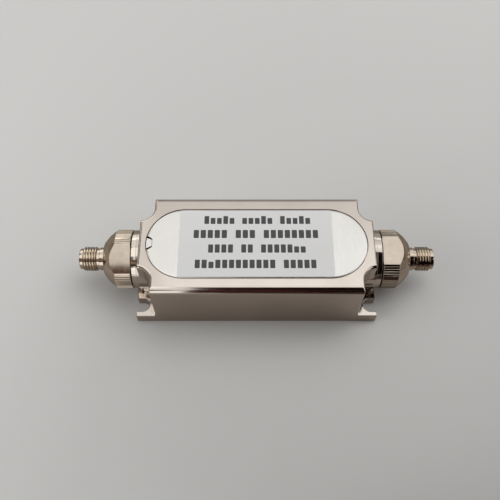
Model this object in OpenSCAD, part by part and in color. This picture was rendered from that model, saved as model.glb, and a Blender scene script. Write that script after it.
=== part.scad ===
// Coaxial bandpass filter in a die-cast box with a threaded jack on each end
// Millimetres. +Z up, origin on the mounting face under the middle of the box.
// The signal runs along X: the input jack points to -X and the output jack to +X.

/* [Housing] */
// Length of the base flange
flange_len = 63.2; // [62:0.1:70]
// Thickness of the base flange
flange_t = 3.4; // [2.4:0.1:4]
// Width of the box and of its flange
body_w = 27.4; // [26.8:0.1:34]
// Height of the box from its mounting face
body_h = 18.2; // [18:0.1:24]
// Radius along the two long top edges
edge_r = 1.6; // [0.6:0.1:2]
// Radius on the lugs' top end edges
lug_r = 1.2; // [0.3:0.1:1.4]
// Radius round the top of the reliefs
small_r = 0.8; // [0.3:0.1:1]
// How far each end lug stands back from the flange's end
lug_setback = 1.35; // [1.2:0.05:2.4]
// Thickness of the cavity's floor
floor_t = 3; // [2:0.1:3.6]
// Width of the ledge that carries the lid
ledge_w = 1.2; // [0.9:0.1:1.6]

/* [Screw slots] */
// Width of each open screw slot
slot_w = 3.8; // [3:0.1:4.4]
// Distance from a slot's round end centre to the flange's end
slot_depth = 1.5; // [1:0.1:1.5]
// Distance from a slot's centre line to the side of the box
slot_inset = 3.2; // [2.8:0.1:3.4]
// Radius of the relief for a screw's head, round the slot's centre
relief_r = 3.6; // [3:0.1:3.8]

/* [Lid and label] */
// Rim between the lid's pocket and the end of each lug
rim_end = 2.15; // [1.6:0.05:2.4]
// Rim between the lid's pocket and the side of the box
rim_side = 3.75; // [3.4:0.05:4]
// Thickness of the lid
lid_t = 1.5; // [1:0.1:1.8]
// Gap all round the lid
lid_gap = 0.12; // [0.05:0.01:0.2]
// Width of the round pry notch at the lid's edge
pry_w = 3.6; // [2:0.1:4]
// How far the pry notch reaches into the lid
pry_depth = 1.2; // [0.6:0.1:1.4]
// How far the pry notch goes down from the lid's top
pry_drop = 0.4; // [0.2:0.1:0.8]
// Distance from the label's short edges to the lid's round ends
label_end_margin = 8.5; // [8.2:0.1:14]
// Distance from the label's long edges to the lid's sides
label_side_margin = 0.25; // [0.25:0.05:3]
// How far the label was stuck off the middle of the lid, along X
label_shift = -0.2; // [-0.8:0.1:0.8]
// Thickness of the label
label_t = 0.1; // [0.05:0.01:0.2]

/* [Jack bosses] */
// Height of the jacks' axis above the mounting face
axis_h = 9.5; // [9.3:0.1:10]
// Diameter of the cast boss on each end
boss_d = 15.5; // [15.2:0.1:15.8]
// Diameter of the machined land at the boss's end
land_d = 15.1; // [14:0.1:15.2]
// Width of the machined land
land_w = 1.2; // [0.6:0.1:1.8]
// How far the boss stands out past the lug
boss_reach = 1.6; // [1.2:0.05:3]
// Wall left between the boss's bore and the cavity
web_t = 1.1; // [0.8:0.1:1.5]
// Diameter of the feed hole through that wall
feed_d = 5.2; // [4.6:0.1:6]

/* [Jack bodies] */
// Thickness of the seal ring behind each nut
seal_t = 0.3; // [0.2:0.05:0.5]
// Outer diameter of the seal ring
seal_d = 14.6; // [13.2:0.1:15]
// Diameter of the knurled nut
nut_d = 15.4; // [14.6:0.1:16]
// Length of the knurled part
nut_len = 4.05; // [3:0.05:6]
// Distance across the two wrench flats
across_flats = 13.4; // [12:0.1:13.8]
// Turn of the input nut's wrench flats from upright, towards -Y
input_flat_turn = 29; // [0:1:90]
// Turn of the output nut's wrench flats from upright, towards -Y
output_flat_turn = 9; // [0:1:90]
// Number of knurl grooves round the nut
knurl_count = 72; // [48:2:80]
// Depth of a knurl groove
knurl_depth = 0.16; // [0.1:0.01:0.18]
// Length of the cone in front of the nut
cone_len = 3.4; // [2.5:0.1:4.5]
// Diameter of the cone's front face
cone_d = 8.8; // [8:0.1:10]
// Diameter of the plain neck
neck_d = 6; // [5.8:0.05:6.3]
// Length of the plain neck
neck_len = 1.4; // [0.8:0.1:2.5]
// Diameter of the groove behind the thread
groove_d = 5.5; // [5.3:0.1:5.8]
// Width of the groove behind the thread
groove_w = 0.6; // [0.4:0.1:1]
// Outer diameter of the coupling thread
thread_d = 6.35; // [6.3:0.01:6.4]
// Length of the coupling thread
thread_len = 3.7; // [2.8:0.1:5]
// Diameter of the pilot in front of the thread
pilot_d = 5.4; // [5.3:0.05:5.6]
// Length of the pilot
pilot_len = 0.9; // [0.8:0.1:1.6]
// Diameter of the socket bore in the jack's mouth
socket_d = 4.6; // [4.55:0.01:4.7]
// Depth of the socket bore
socket_depth = 1.9; // [1.7:0.05:2]
// Diameter of the threaded shank in the boss
shank_d = 12; // [10:0.1:12.4]

/* [Insulator and contact] */
// Diameter of the insulator
dielectric_d = 4.1; // [3.8:0.05:4.2]
// Diameter of the contact
contact_d = 1.27; // [1.2:0.01:1.4]
// Diameter of the contact's pin hole
pin_hole_d = 0.94; // [0.92:0.01:0.96]
// Depth of the contact's pin hole
pin_hole_depth = 2.9; // [2:0.1:4]
// Width of the slots in the contact's spring end
contact_slot_w = 0.15; // [0.1:0.01:0.18]
// Length of those slots
contact_slot_len = 2.2; // [1:0.1:2.6]
// How far the contact's mouth lies behind the insulator's face
contact_recess = 0.1; // [0:0.05:0.25]
// Thickness of the contact's solder tail
tail_t = 0.4; // [0.2:0.05:0.5]
// Width of the solder tail
tail_w = 1.1; // [0.8:0.05:1.2]
// Length of the solder tail over the board
tail_len = 2.4; // [1.5:0.1:2.6]

/* [Board] */
// Thickness of the circuit board
board_t = 1.2; // [0.8:0.1:1.6]
// Gap between the board and the cavity's wall
board_gap = 0.4; // [0.3:0.1:0.8]
// Distance from the board's screws to the board's round ends
post_end_inset = 5.5; // [5.2:0.1:6.5]
// Distance from the board's screws to the board's sides
post_side_inset = 3.15; // [2.95:0.05:3.35]
// Diameter of the cast posts under the board
post_d = 4.4; // [4:0.1:4.6]
// Depth of the screw hole in a post
post_hole_depth = 4; // [3.8:0.1:4.1]
// Diameter of the board screws' shank
screw_d = 2; // [1.8:0.1:2.2]
// Length of the board screws under the head
screw_len = 4.8; // [3:0.1:4.9]
// Diameter of the board screws' head
screw_head_d = 3.8; // [3.2:0.1:4]
// Height of the board screws' head
screw_head_h = 1.3; // [1:0.1:1.6]

/* [Coils and capacitors] */
// Distance from the first and last coupling capacitors to the board's round ends
coupling_inset = 6; // [5.5:0.1:7]
// Outer diameter of a coil
coil_d = 5; // [4:0.1:5.2]
// Diameter of the coil wire
wire_d = 0.8; // [0.5:0.05:0.9]
// Whole turns in a coil, besides its last half turn
coil_turns = 3; // [2:1:4]
// Distance from one turn to the next
turn_pitch = 1.15; // [1:0.05:1.3]
// Height of a coil's underside above the board
coil_lift = 0.6; // [0.3:0.1:0.8]
// Length of a chip capacitor
chip_len = 2; // [1.6:0.1:2.2]
// Width of a chip capacitor
chip_w = 1.25; // [0.8:0.05:1.4]
// Height of a chip capacitor
chip_h = 1.2; // [0.6:0.1:1.4]
// Distance from the shunt capacitors to the board's side
shunt_inset = 2.75; // [2.3:0.05:3.2]

/* [Hidden] */
$fn = 96;

// Cutting tools run past the faces that they open by this much
over = 1;
// Radial gap of round pieces that are pressed, soldered or screwed together
fit_gap = 0.05;
// Gap between the shank's end and the bottom of its bore
shank_stop = 0.3;
// Width of a knurl groove over its depth
knurl_flare = 2.8;
// Chamfer at both ends of the thread
thread_chamfer = 0.25;
// Small chamfer on turned corners
corner_chamfer = 0.2;
// How much a chip's end caps stand proud of its body
cap_proud = 0.04;
// Length of a chip's end caps
cap_len = 0.4;
// Clearance of the board's holes round their screws
board_hole_gap = 0.15;
// Width and depth of the cross recess in a screw head
cross_w = 0.5;
cross_depth = 0.7;
// Number of resonators, each a coil and a shunt capacitor
resonator_count = 5;
// Sides of the coil wire, and steps in one turn
wire_sides = 8;
turn_steps = 16;

lug_end = flange_len / 2 - lug_setback;
slot_x = flange_len / 2 - slot_depth;
slot_y = body_w / 2 - slot_inset;
end_wall = slot_x - relief_r;
lid_r = body_w / 2 - rim_side;
lid_straight = lug_end - rim_end - lid_r;
lid_edge_r = lid_r - lid_gap;
pry_r = (pow(pry_w / 2, 2) + pow(pry_depth, 2)) / (2 * pry_depth);
label_half_len = lid_straight + lid_edge_r - label_end_margin;
label_half_w = lid_edge_r - label_side_margin;
cavity_r = lid_r - ledge_w;
cavity_end = lid_straight + cavity_r;
cavity_top = body_h - lid_t;
boss_end = lug_end + boss_reach;
bore_bottom = cavity_end + web_t;
shank_end = bore_bottom + shank_stop;

nut_rear = boss_end + seal_t;
nut_front = nut_rear + nut_len;
cone_front = nut_front + cone_len;
neck_end = cone_front + neck_len;
thread_start = neck_end + groove_w;
thread_end = thread_start + thread_len;
tip = thread_end + pilot_len;
socket_bottom = tip - socket_depth;
contact_mouth = socket_bottom - contact_recess;

board_top = axis_h - tail_t / 2;
board_bottom = board_top - board_t;
board_end = cavity_end - board_gap;
board_side = cavity_r - board_gap;
post_x = board_end - post_end_inset;
post_y = board_side - post_side_inset;
coil_mid_r = (coil_d - wire_d) / 2;
coil_mid_z = board_top + coil_lift + coil_d / 2;
coil_len = (coil_turns + 0.5) * turn_pitch;
first_coupling = coupling_inset - board_end;
resonator_pitch = -2 * first_coupling / resonator_count;
first_resonator = first_coupling + resonator_pitch / 2;
shunt_y = shunt_inset - board_side;

plated_cast = [0.80, 0.77, 0.74];
plated_lid = [0.86, 0.85, 0.83];
plated_turned = [0.78, 0.72, 0.64];
paper = [0.88, 0.88, 0.87];
seal_black = [0.10, 0.10, 0.10];
insulator_white = [0.93, 0.93, 0.90];
contact_gold = [0.85, 0.68, 0.32];
board_green = [0.10, 0.36, 0.22];
screw_steel = [0.70, 0.70, 0.72];
coil_copper = [0.78, 0.45, 0.25];
chip_tan = [0.72, 0.62, 0.48];

// Shared shapes

// A round-ended plate or pocket: two round ends whose centres are 2 * straight apart
module stadium(r, straight, h) {
    for (side = [-1, 1]) translate([side * straight, 0, 0]) cylinder(r = r, h = h);
    translate([-straight, -r, 0]) cube([2 * straight, 2 * r, h]);
}

// Puts a shape built on the +X end onto the chosen end
module on_end(side) {
    if (side > 0) children();
    else mirror([1, 0, 0]) children();
}

// A turned shape on the jacks' axis, from points of [distance along X, radius]
module turned(points) {
    translate([0, 0, axis_h]) rotate([0, 90, 0])
        rotate_extrude() polygon([for (p = points) [p[1], p[0]]]);
}

// A plain round bar on the jacks' axis
module bar(d, from_x, to_x) {
    translate([from_x, 0, axis_h]) rotate([0, 90, 0]) cylinder(d = d, h = to_x - from_x);
}

// The four corners of the box, each as a mirror of the +X +Y corner
module each_corner() {
    for (sx = [0, 1]) for (sy = [0, 1]) mirror([sx, 0, 0]) mirror([0, sy, 0]) children();
}

// The places of the board's screws
module each_post() {
    for (sx = [-1, 1]) for (sy = [-1, 1])
        translate([sx * post_x, sy * post_y, 0]) children();
}

// Housing

// Cross-section of the box, with its two long top edges rounded
module box_section() {
    square_top = body_w / 2 - edge_r;
    translate([-square_top, 0]) square([2 * square_top, body_h]);
    translate([-body_w / 2, 0]) square([body_w, body_h - edge_r]);
    for (side = [-1, 1]) translate([side * square_top, body_h - edge_r]) circle(r = edge_r);
}

// Cutter that rounds a straight top edge along Y, with its wall at x = 0 facing +X
module edge_cutter(r, from_y, to_y) {
    translate([0, from_y, body_h]) rotate([-90, 0, 0]) linear_extrude(height = to_y - from_y)
        difference() {
            translate([-r, -over]) square([r + over, r + over]);
            translate([-r, r]) circle(r = r);
        }
}

// Relief for a screw's head in the +X +Y corner, with a rounded top edge
module screw_relief() {
    translate([slot_x, slot_y, flange_t]) {
        cylinder(r = relief_r, h = body_h);
        translate([-relief_r, 0, 0]) cube([2 * relief_r, body_w, body_h]);
    }
    translate([slot_x, slot_y, 0]) rotate_extrude() difference() {
        translate([0, body_h - small_r]) square([relief_r + small_r, small_r + over]);
        translate([relief_r + small_r, body_h - small_r]) circle(r = small_r);
    }
    translate([end_wall, 0, 0]) edge_cutter(small_r, slot_y, body_w / 2 + over);
}

// Open slot for a mounting screw in the +X +Y corner
module screw_slot() {
    translate([slot_x, slot_y, -over]) {
        cylinder(d = slot_w, h = flange_t + 2 * over);
        translate([0, -slot_w / 2, 0]) cube([slot_depth + over, slot_w, flange_t + 2 * over]);
    }
}

// Round boss for a jack on the +X end, with a machined land round its end
module boss() {
    turned([
        [end_wall - over, 0], [end_wall - over, boss_d / 2], [boss_end - land_w, boss_d / 2],
        [boss_end - land_w, land_d / 2], [boss_end, land_d / 2], [boss_end, 0]
    ]);
}

// Bore for a jack's shank, and the feed hole from its bottom into the cavity
module boss_bore() {
    bar(shank_d + 2 * fit_gap, bore_bottom, boss_end + over);
    bar(feed_d, cavity_end - over, bore_bottom + over);
}

module housing() {
    color(plated_cast) difference() {
        union() {
            difference() {
                union() {
                    rotate([90, 0, 90]) translate([0, 0, -lug_end])
                        linear_extrude(height = 2 * lug_end) box_section();
                    translate([-flange_len / 2, -body_w / 2, 0])
                        cube([flange_len, body_w, flange_t]);
                }
                each_corner() screw_relief();
                each_corner() translate([lug_end, 0, 0]) edge_cutter(lug_r, -over, body_w / 2);
            }
            on_end(1) boss();
            on_end(-1) boss();
        }
        each_corner() screw_slot();
        translate([0, 0, cavity_top]) stadium(lid_r, lid_straight, lid_t + over);
        difference() {
            translate([0, 0, floor_t]) stadium(cavity_r, lid_straight, body_h);
            each_post() cylinder(d = post_d, h = board_bottom);
        }
        on_end(1) boss_bore();
        on_end(-1) boss_bore();
        each_post() translate([0, 0, board_bottom - post_hole_depth])
            cylinder(d = screw_d + 2 * fit_gap, h = post_hole_depth + over);
    }
}

// Lid and label

module lid() {
    color(plated_lid) translate([0, 0, cavity_top]) difference() {
        stadium(lid_edge_r, lid_straight, lid_t);
        translate([pry_depth - pry_r - lid_straight - lid_edge_r, 0, lid_t - pry_drop])
            cylinder(r = pry_r, h = pry_drop + over);
    }
}

module label() {
    color(paper) translate([label_shift - label_half_len, -label_half_w, body_h])
        cube([2 * label_half_len, 2 * label_half_w, label_t]);
}

// Jacks

// Grooves of a straight knurl, cut into the nut's rim
module knurl_grooves() {
    half_w = knurl_depth * knurl_flare / 2;
    for (i = [0 : knurl_count - 1])
        translate([nut_rear - over, 0, axis_h]) rotate([(i + 0.5) * 360 / knurl_count, 0, 0])
            rotate([90, 0, 90]) linear_extrude(height = nut_front + cone_len - nut_rear + over)
                polygon([
                    [0, nut_d / 2 - knurl_depth],
                    [half_w * (1 + over / knurl_depth), nut_d / 2 + over],
                    [-half_w * (1 + over / knurl_depth), nut_d / 2 + over]
                ]);
}

// Two wrench flats, cut through the knurl and the cone
module wrench_flats(flat_turn) {
    for (side = [0, 180]) translate([0, 0, axis_h]) rotate([side + flat_turn, 0, 0])
        translate([nut_rear - over, -nut_d / 2, across_flats / 2])
            cube([nut_len + cone_len + over, nut_d, nut_d / 2]);
}

module jack_body(flat_turn) {
    color(plated_turned) difference() {
        turned([
            [shank_end, 0], [shank_end, shank_d / 2 - corner_chamfer],
            [shank_end + corner_chamfer, shank_d / 2], [nut_rear, shank_d / 2],
            [nut_rear, nut_d / 2 - corner_chamfer], [nut_rear + corner_chamfer, nut_d / 2],
            [nut_front, nut_d / 2],
            [cone_front - corner_chamfer, cone_d / 2 + corner_chamfer / 2],
            [cone_front, cone_d / 2 - corner_chamfer], [cone_front, neck_d / 2],
            [neck_end, neck_d / 2], [neck_end, groove_d / 2], [thread_start, groove_d / 2],
            [thread_start + thread_chamfer, thread_d / 2],
            [thread_end - thread_chamfer, thread_d / 2], [thread_end, pilot_d / 2],
            [tip - corner_chamfer, pilot_d / 2], [tip, pilot_d / 2 - corner_chamfer], [tip, 0]
        ]);
        knurl_grooves();
        wrench_flats(flat_turn);
        bar(dielectric_d + 2 * fit_gap, shank_end - over, tip + over);
        bar(socket_d, socket_bottom, tip + over);
    }
}

// Flat ring between a boss and its nut
module seal_ring() {
    color(seal_black) difference() {
        bar(seal_d, boss_end, nut_rear);
        bar(shank_d + 2 * fit_gap, boss_end - over, nut_rear + over);
    }
}

// Insulator sleeve, from the cavity to the jack's reference face
module dielectric() {
    color(insulator_white) difference() {
        bar(dielectric_d, cavity_end, socket_bottom);
        bar(contact_d + 2 * fit_gap, cavity_end - over, socket_bottom + over);
    }
}

// Spring socket with a flat solder tail that lies on the board
module contact() {
    color(contact_gold) {
        difference() {
            bar(contact_d, cavity_end, contact_mouth);
            bar(pin_hole_d, contact_mouth - pin_hole_depth, contact_mouth + over);
            for (turn = [0, 90]) translate([0, 0, axis_h]) rotate([turn, 0, 0])
                translate([contact_mouth - contact_slot_len, -contact_slot_w / 2, -contact_d])
                    cube([contact_slot_len + over, contact_slot_w, 2 * contact_d]);
        }
        translate([board_end - tail_len, -tail_w / 2, board_top])
            cube([cavity_end - board_end + tail_len + over, tail_w, tail_t]);
    }
}

// Board and its screws

module circuit_board() {
    color(board_green) difference() {
        translate([0, 0, board_bottom]) stadium(board_side, lid_straight, board_t);
        each_post() translate([0, 0, board_bottom - over])
            cylinder(d = screw_d + 2 * board_hole_gap, h = board_t + 2 * over);
    }
}

module board_screw() {
    difference() {
        union() {
            translate([0, 0, board_top - screw_len]) cylinder(d = screw_d, h = screw_len + over / 2);
            translate([0, 0, board_top]) cylinder(d = screw_head_d, h = screw_head_h);
        }
        for (turn = [0, 90]) rotate([0, 0, turn])
            translate([-screw_head_d / 4, -cross_w / 2, board_top + screw_head_h - cross_depth])
                cube([screw_head_d / 2, cross_w, cross_depth + over]);
    }
}

module board_screws() {
    color(screw_steel) each_post() board_screw();
}

// Coils and capacitors

// Point, outward direction and running direction of the wire's middle line at an angle
function coil_radial(a) = [cos(a), 0, sin(a)];
function coil_point(a) =
    coil_mid_r * coil_radial(a) + [0, a / 360 * turn_pitch - coil_len / 2, coil_mid_z];
function coil_tangent(a) =
    let(v = [-sin(a), turn_pitch / (2 * PI * coil_mid_r), cos(a)]) v / norm(v);

// A ring of wire points round a middle point, on two directions square to the wire
function wire_ring(middle, radial, side) = [
    for (k = [0 : wire_sides - 1])
        let(b = k * 360 / wire_sides) middle + wire_d / 2 * (cos(b) * radial + sin(b) * side)
];

// The wire's rings: up one leg, round the turns and down the other leg to the board
function coil_rings() = let(
    sweep = 360 * coil_turns + 180,
    steps = round(sweep / 360 * turn_steps),
    first = coil_point(0),
    last = coil_point(sweep)
) concat(
    [wire_ring([first[0], first[1], board_top], coil_radial(0), cross(coil_radial(0), [0, 0, 1]))],
    [
        for (i = [0 : steps])
            let(a = i * sweep / steps)
                wire_ring(coil_point(a), coil_radial(a), cross(coil_radial(a), coil_tangent(a)))
    ],
    [wire_ring([last[0], last[1], board_top], coil_radial(sweep),
        cross(coil_radial(sweep), [0, 0, -1]))]
);

module coil() {
    rings = coil_rings();
    n = len(rings);
    m = wire_sides;
    color(coil_copper) polyhedron(
        points = [for (ring = rings) each ring],
        faces = concat(
            [[for (k = [m - 1 : -1 : 0]) k]],
            [
                for (i = [0 : n - 2]) for (k = [0 : m - 1])
                    [i * m + k, i * m + (k + 1) % m, (i + 1) * m + (k + 1) % m, (i + 1) * m + k]
            ],
            [[for (k = [0 : m - 1]) (n - 1) * m + k]]
        )
    );
}

module resonator_coil(i) {
    translate([first_resonator + (i - 1) * resonator_pitch, 0, 0]) coil();
}

// Chip with two metal end caps, standing on the board
module chip() {
    color(chip_tan) union() {
        translate([-chip_len / 2 + cap_len / 2, -chip_w / 2, board_top + cap_proud])
            cube([chip_len - cap_len, chip_w, chip_h]);
        for (side = [0, 1]) mirror([side, 0, 0])
            translate([chip_len / 2 - cap_len, -chip_w / 2 - cap_proud, board_top])
                cube([cap_len, chip_w + 2 * cap_proud, chip_h + 2 * cap_proud]);
    }
}

module shunt_capacitor(i) {
    translate([first_resonator + (i - 1) * resonator_pitch, shunt_y, 0]) chip();
}

module coupling_capacitor(i) {
    translate([first_coupling + (i - 1) * resonator_pitch, 0, 0]) chip();
}

housing();
lid();
label();
on_end(-1) jack_body(input_flat_turn);  // input_jack_body
on_end(1) jack_body(output_flat_turn);  // output_jack_body
on_end(-1) seal_ring();  // input_seal_ring
on_end(1) seal_ring();  // output_seal_ring
on_end(-1) dielectric();  // input_dielectric
on_end(1) dielectric();  // output_dielectric
on_end(-1) contact();  // input_contact
on_end(1) contact();  // output_contact
circuit_board();
board_screws();
resonator_coil(1);  // resonator_coil_1
resonator_coil(2);  // resonator_coil_2
resonator_coil(3);  // resonator_coil_3
resonator_coil(4);  // resonator_coil_4
resonator_coil(5);  // resonator_coil_5
shunt_capacitor(1);  // shunt_capacitor_1
shunt_capacitor(2);  // shunt_capacitor_2
shunt_capacitor(3);  // shunt_capacitor_3
shunt_capacitor(4);  // shunt_capacitor_4
shunt_capacitor(5);  // shunt_capacitor_5
coupling_capacitor(1);  // coupling_capacitor_1
coupling_capacitor(2);  // coupling_capacitor_2
coupling_capacitor(3);  // coupling_capacitor_3
coupling_capacitor(4);  // coupling_capacitor_4
coupling_capacitor(5);  // coupling_capacitor_5
coupling_capacitor(6);  // coupling_capacitor_6
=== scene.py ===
"""Looks for a coaxial bandpass filter in a die-cast box with a threaded jack on each end.

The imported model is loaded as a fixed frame. The housing, lid, label, jacks, seal rings and insulators
are modelled here in millimetres and put into the row frame in metres, and the inner nodes keep the
frame's shapes and get their own finishes.
"""

import logging
import math
from dataclasses import dataclass
from enum import Enum
from typing import Callable, Iterable, Sequence

import bmesh
import bpy
from mathutils import Matrix, Vector


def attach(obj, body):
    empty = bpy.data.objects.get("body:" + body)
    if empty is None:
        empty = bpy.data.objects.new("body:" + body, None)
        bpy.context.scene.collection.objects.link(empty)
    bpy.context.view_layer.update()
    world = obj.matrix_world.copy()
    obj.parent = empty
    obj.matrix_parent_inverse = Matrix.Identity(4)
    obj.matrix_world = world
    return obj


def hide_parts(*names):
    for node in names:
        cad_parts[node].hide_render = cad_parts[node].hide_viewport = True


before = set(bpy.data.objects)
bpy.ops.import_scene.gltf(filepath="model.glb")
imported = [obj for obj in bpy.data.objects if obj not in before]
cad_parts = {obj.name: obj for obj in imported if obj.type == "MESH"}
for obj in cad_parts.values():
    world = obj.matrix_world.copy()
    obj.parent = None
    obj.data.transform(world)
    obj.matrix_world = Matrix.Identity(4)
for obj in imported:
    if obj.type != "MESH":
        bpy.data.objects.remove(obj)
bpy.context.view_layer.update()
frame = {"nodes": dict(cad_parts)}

LOG = logging.getLogger("filter")

# A millimetre in metres, and the sizes in millimetres that several classes share
MM = 0.001
AXIS_H = 9.5
BOX_TOP = 18.2
LID_LOW = 16.7
LID_STRAIGHT = 18.15

# How far a cutter reaches past what it cuts
CLEAR = 1.0

# How near a face or a corner has to be to count as in its place, on its line or plane, or doubled
NEAR = 0.01
ON = 1e-3
MERGE = 1e-4
ON_CUT = 1e-5

# Steps in a full turn, in a post, and across a rounded edge or corner
TURN_STEPS = 128
FINE_TURN_STEPS = 192
SMALL_TURN_STEPS = 96
HOLE_STEPS = 64
POST_STEPS = 48
BEVEL_STEPS = 5
CORNER_STEPS = 5
EDGE_STEPS = 2

# A joint of two faces is flat below the first, gets a bevel above the second and stays sharp above the third
FLAT_DEGREES = 0.5
FOLD_DEGREES = 30.0
SHARP_DEGREES = 32.0

# A face looks up where its normal's Z is above the first, and is a wall or looks down below the second
LOOKS_UP = 0.9
LOOKS_ASIDE = 0.3

# Sockets of the colour Mix node, which go by their places
MIX_A, MIX_B, MIX_RESULT = 6, 7, 2

# The part of a noise's range that is used
NOISE_LOW, NOISE_HIGH = 0.3, 0.7

BMesh = bmesh.types.BMesh
Vert = bmesh.types.BMVert
Edge = bmesh.types.BMEdge
Face = bmesh.types.BMFace
Piece = bpy.types.Object
Material = bpy.types.Material
Socket = bpy.types.NodeSocket
Pair = tuple[float, float]
Point = tuple[float, float, float]
Tint = tuple[float, float, float]
Inputs = dict[str | int, object]


class Slot(Enum):
    """Material slots of the record; the pieces built here are not given them."""

    CASTING = "plated_casting"
    LID = "lid_plate"
    LABEL = "label_stock"
    TURNED = "plated_brass"
    SEAL = "seal_rubber"
    INSULATOR = "insulator"


class Join(Enum):
    """Ways in which one solid is put together with another."""

    ADD = "UNION"
    CUT = "DIFFERENCE"
    KEEP = "INTERSECT"


class End(Enum):
    """The two ends of the box, as the sign of X."""

    INPUT = -1
    OUTPUT = 1


class Use(Enum):
    """What a studio card is for, as whether it meets diffuse, glossy and shadow rays."""

    MIRRORED = (False, True, False)
    LIGHT = (True, False, False)
    SHADE = (True, False, True)


# Mesh tools

def all_of(bm: BMesh) -> list:
    """Lists every vertex, edge and face of a mesh."""
    return list(bm.verts) + list(bm.edges) + list(bm.faces)


def tidy(bm: BMesh) -> BMesh:
    """Merges doubled vertices and points every face outwards.

    Args:
        bm: Closed mesh in millimetres.

    Returns:
        The same mesh.
    """
    bmesh.ops.remove_doubles(bm, verts=bm.verts, dist=MERGE)
    bmesh.ops.dissolve_degenerate(bm, dist=MERGE, edges=bm.edges)
    bmesh.ops.recalc_face_normals(bm, faces=bm.faces)
    return bm


def rounded(profile: Sequence[Pair], radius: dict[int, float], steps: int) -> list[Pair]:
    """Rounds named corners of a profile with small arcs.

    Args:
        profile: Points of (distance along X, radius).
        radius: Radius for each rounded point, by its index.
        steps: Segments in an arc.

    Returns:
        The profile's points with the arcs in it.
    """
    out: list[Pair] = []
    for i, point in enumerate(profile):
        if i not in radius:
            out.append(point)
            continue
        p = Vector(point)
        a = (Vector(profile[i - 1]) - p).normalized()
        b = (Vector(profile[i + 1]) - p).normalized()
        half = a.angle(b) / 2
        reach = radius[i] / math.tan(half)
        centre = p + (a + b).normalized() * (radius[i] / math.sin(half))
        first, last = p + a * reach - centre, p + b * reach - centre
        turn = first.angle_signed(last)
        for k in range(steps + 1):
            out.append(tuple(centre + Matrix.Rotation(-turn * k / steps, 2) @ first))
    return out


def lathe(
    points: Sequence[Pair], steps: int = TURN_STEPS, rounds: dict[int, float] | None = None, arc: int = 4
) -> BMesh:
    """Turns a closed solid on the jacks' axis.

    Args:
        points: Points of (distance along X, radius) from the rear to the front. The ends are flat.
        steps: Steps in the full turn.
        rounds: Radius for each rounded corner, by its point's index.
        arc: Segments in each rounded corner.

    Returns:
        The closed solid.
    """
    profile = [(points[0][0], 0.0), *points, (points[-1][0], 0.0)]
    profile = rounded(profile, {i + 1: radius for i, radius in (rounds or {}).items()}, arc)
    bm = bmesh.new()
    verts = [bm.verts.new((x, 0.0, AXIS_H + r)) for x, r in profile]
    edges = [bm.edges.new(pair) for pair in zip(verts, verts[1:])]
    bmesh.ops.spin(
        bm, geom=verts + edges, cent=(0, 0, AXIS_H), axis=(1, 0, 0), angle=math.tau,
        steps=steps, use_merge=True, use_duplicate=False,
    )
    return tidy(bm)


def pushed(bm: BMesh, faces: Iterable[Face], by: Point) -> list[Face]:
    """Extrudes faces.

    Args:
        bm: Mesh in millimetres.
        faces: The faces.
        by: How far along X, Y and Z.

    Returns:
        The faces at the far end.
    """
    region = list(faces)
    region += list({e for f in region for e in f.edges}) + list({v for f in region for v in f.verts})
    made = bmesh.ops.extrude_face_region(bm, geom=region)["geom"]
    bmesh.ops.translate(bm, vec=by, verts=[g for g in made if isinstance(g, Vert)])
    return [g for g in made if isinstance(g, Face)]


def stadium(radius: float, straight: float, low: float, high: float, steps: int = 48) -> BMesh:
    """Makes a round-ended block along X.

    Args:
        radius: Radius of the round ends.
        straight: Half the distance between their centres.
        low: Height of the underside.
        high: Height of the top.
        steps: Segments in each half round.

    Returns:
        The closed solid, with one face on top and one below.
    """
    bm = bmesh.new()
    start = bm.verts.new((straight, -radius, low))
    bmesh.ops.spin(
        bm, geom=[start], cent=(straight, 0, low), axis=(0, 0, 1), angle=math.pi, steps=steps,
        use_merge=False,
    )
    bmesh.ops.mirror(bm, geom=all_of(bm), matrix=Matrix(), merge_dist=-1, axis="X")
    for side in (-radius, radius):
        row = [v for v in bm.verts if abs(v.co.y - side) < ON]
        bm.edges.new(row)
    face = bmesh.ops.contextual_create(bm, geom=list(bm.edges))["faces"]
    pushed(bm, face, (0, 0, high - low))
    return tidy(bm)


def post(
    x: float, y: float, radius: float, low: float, high: float, top_radius: float | None = None
) -> BMesh:
    """Makes an upright round bar or cone.

    Args:
        x: Place along X.
        y: Place along Y.
        radius: Radius at the foot.
        low: Height of the foot.
        high: Height of the top.
        top_radius: Radius at the top, or the foot's where none is given.

    Returns:
        The closed solid.
    """
    bm = bmesh.new()
    bmesh.ops.create_cone(
        bm, cap_ends=True, segments=POST_STEPS, radius1=radius, depth=high - low,
        radius2=radius if top_radius is None else top_radius,
        matrix=Matrix.Translation((x, y, (low + high) / 2)),
    )
    return bm


def spread(bm: BMesh, faces: Sequence[Face], straight: float, by: float) -> None:
    """Moves the corners of a round-ended plate's faces outwards, square to its outline.

    Args:
        bm: Mesh in millimetres.
        faces: Faces of the plate's top.
        straight: Distance from the middle to each round end's centre.
        by: How far they move.
    """
    for vert in {v for f in faces for v in f.verts}:
        spine = max(-straight, min(straight, vert.co.x))
        out = Vector((vert.co.x - spine, vert.co.y, 0)).normalized()
        bmesh.ops.translate(bm, vec=out * by, verts=[vert])


def round_edges(bm: BMesh, pick: Callable[[Edge], bool], radius: float, segments: int) -> None:
    """Rounds the picked edges.

    Args:
        bm: Mesh in millimetres.
        pick: Says whether an edge is rounded.
        radius: Radius of the round.
        segments: Segments across it.
    """
    bmesh.ops.bevel(
        bm, geom=[e for e in bm.edges if pick(e)], offset=radius, offset_type="OFFSET",
        affect="EDGES", segments=segments, profile=0.5, material=-1, clamp_overlap=True,
    )


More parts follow.
